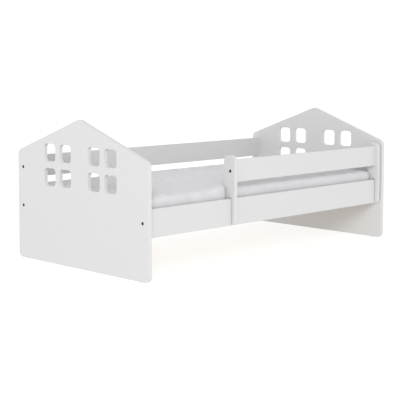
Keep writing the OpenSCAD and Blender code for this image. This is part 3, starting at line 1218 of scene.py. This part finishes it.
def makeMattress():
    low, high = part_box("mattress_cover")
    blank = softBlank("mattressFabric", mattress["voxel"], mattress["soften"], mattress["coverThick"])
    piece = newObject("mattress_fabric", blank, knitFabric)
    points = coordinates(piece.data)
    shapeTop(points, low, high)
    setCoordinates(piece.data, points)
    simulateCover(piece)
    finer = piece.modifiers.new("finer", "SUBSURF")
    finer.levels = finer.render_levels = 1
    mesh = plainMesh(piece, "mattress_fabric")
    piece.modifiers.clear()
    piece.data = mesh
    points = coordinates(mesh)
    onTop = topMask(points, low, high)
    points[:, 2] += onTop * (high.z + mattress["plump"] - np.percentile(points[onTop > 0.99, 2], 90))
    foldTop(points, low, high)
    keepInside(points, low, high)
    setCoordinates(mesh, points)
    mesh.polygons.foreach_set("use_smooth", [True] * len(mesh.polygons))
    settle(piece, "mattress", "mattress_fabric", "mattress_cover")

    blank = softBlank("mattressFoam", mattress["voxel"], mattress["foamSoften"], -mattress["foamInset"])
    foam = newObject("mattress_foam", blank, foamFinish)
    points = coordinates(foam.data)
    shapeTop(points, low, high)
    setCoordinates(foam.data, points)
    foam.data.polygons.foreach_set("use_smooth", [True] * len(foam.data.polygons))
    settle(foam, "mattress", "foam", "mattress_core")
    return piece


mattressPiece = makeMattress()
print("mattress made")


# zip round the cover

zipper = {
    "height": 20 * mm,          # over the mattress's underside
    "tapeHalf": 9 * mm,
    "toothPitch": 3.2 * mm,
    "tooth": (1.5 * mm, 4.2 * mm, 2.4 * mm),
    "stitchPitch": 4.2 * mm,
    "stitch": (0.9 * mm, 0.8 * mm, 3.2 * mm),
    "proud": 0.5 * mm,          # the tape over the cloth, then its edges, the teeth and the thread
    "edgeProud": 0.15 * mm,
    "teethProud": 1.4 * mm,
    "threadProud": 1.0 * mm,
    "tapeThick": 0.6 * mm,
    "stations": 700,
}


def outlineAt(mesh, height, count):
    # even places round the longest cut through a mesh at a height
    shape = bmesh.new()
    shape.from_mesh(mesh)
    cut = bmesh.ops.bisect_plane(
        shape, geom=shape.verts[:] + shape.edges[:] + shape.faces[:], plane_co=(0, 0, height),
        plane_no=(0, 0, 1), clear_inner=True, clear_outer=True)
    partners = {}
    for item in cut["geom_cut"]:
        if isinstance(item, bmesh.types.BMEdge):
            for vert in item.verts:
                partners.setdefault(vert, []).append(item.other_vert(vert))
    left, longest = set(partners), []
    for vert in sorted(partners, key=lambda v: tuple(v.co)):
        if vert not in left:
            continue
        left.remove(vert)
        loop = [vert]
        while True:
            onward = [v for v in partners[loop[-1]] if v in left]
            if not onward:
                break
            left.remove(onward[0])
            loop.append(onward[0])
        if len(loop) > len(longest):
            longest = loop
    points = np.array([v.co for v in longest])
    shape.free()
    # it starts at the same end and runs the same way in every run
    points = np.roll(points, -int(np.lexsort((points[:, 1], points[:, 0]))[-1]), axis=0)
    x, y = points[:, 0], points[:, 1]
    if (x * np.roll(y, -1) - y * np.roll(x, -1)).sum() < 0:
        points = np.roll(points[::-1], 1, axis=0)
    closed = np.vstack([points, points[:1]])
    length = np.concatenate([[0], np.cumsum(np.linalg.norm(np.diff(closed, axis=0), axis=1))])
    places = np.linspace(0, length[-1], count, endpoint=False)
    return np.stack([np.interp(places, length, closed[:, k]) for k in range(3)], 1)


def ontoCover(tree, points, proud):
    placed = []
    for point in points:
        where, normal, _, _ = tree.find_nearest(Vector(point))
        placed.append(where + normal * proud)
    return placed


def closedPath(name, points):
    mesh = bpy.data.meshes.new(name)
    count = len(points)
    mesh.from_pydata(points, [(k, (k + 1) % count) for k in range(count)], [])
    return mesh


def makeZip():
    cover = mattressPiece.data
    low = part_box("mattress_cover")[0]
    tree = BVHTree.FromPolygons([v.co for v in cover.vertices], [tuple(f.vertices) for f in cover.polygons])
    middle = outlineAt(cover, low.z + zipper["height"], zipper["stations"])
    half, proud = zipper["tapeHalf"], zipper["proud"]
    rows = []
    for share in (-1, -0.55, -0.12, 0.12, 0.55, 1):
        lifted = middle + np.array([0, 0, share * half])
        rows.append(ontoCover(tree, lifted, zipper["edgeProud"] if abs(share) == 1 else proud))
    shape = bmesh.new()
    verts = [[shape.verts.new(p) for p in row] for row in rows]
    count = len(middle)
    for index in (0, 1, 3, 4, 2):
        for k in range(count):
            n = (k + 1) % count
            shape.faces.new((verts[index][k], verts[index][n], verts[index + 1][n], verts[index + 1][k]))
    bmesh.ops.recalc_face_normals(shape, faces=shape.faces)
    mesh = bpy.data.meshes.new("zip_tape")
    shape.to_mesh(mesh)
    shape.free()
    mesh.polygons.foreach_set("use_smooth", [True] * len(mesh.polygons))
    tape = newObject("zip_tape", mesh, strapWeave)
    thick = tape.modifiers.new("thick", "SOLIDIFY")
    thick.thickness = zipper["tapeThick"]
    thick.offset = 0
    settle(tape, "mattress", "mattress_fabric")

    teethPath = closedPath("teethPath", ontoCover(tree, middle, zipper["teethProud"]))
    teeth = runTree("zip_teeth", beadTree, teethPath, {
        "Pitch": zipper["toothPitch"], "Bead Size": zipper["tooth"], "Material": zipPlastic})
    settle(teeth, "mattress", "glide_plastic")
    rowsOfThread = []
    for share in (-0.72, 0.72):
        lifted = middle + np.array([0, 0, share * half])
        path = closedPath("stitchPath", ontoCover(tree, lifted, zipper["threadProud"]))
        rowsOfThread.append(runTree("zip_stitches", beadTree, path, {
            "Pitch": zipper["stitchPitch"], "Bead Size": zipper["stitch"], "Material": threadFinish}))
    for piece, label in zip(rowsOfThread, ("lower", "upper")):
        piece.name = "zip_stitches_" + label
        settle(piece, "mattress", "mattress_fabric")


makeZip()
print("zip made")
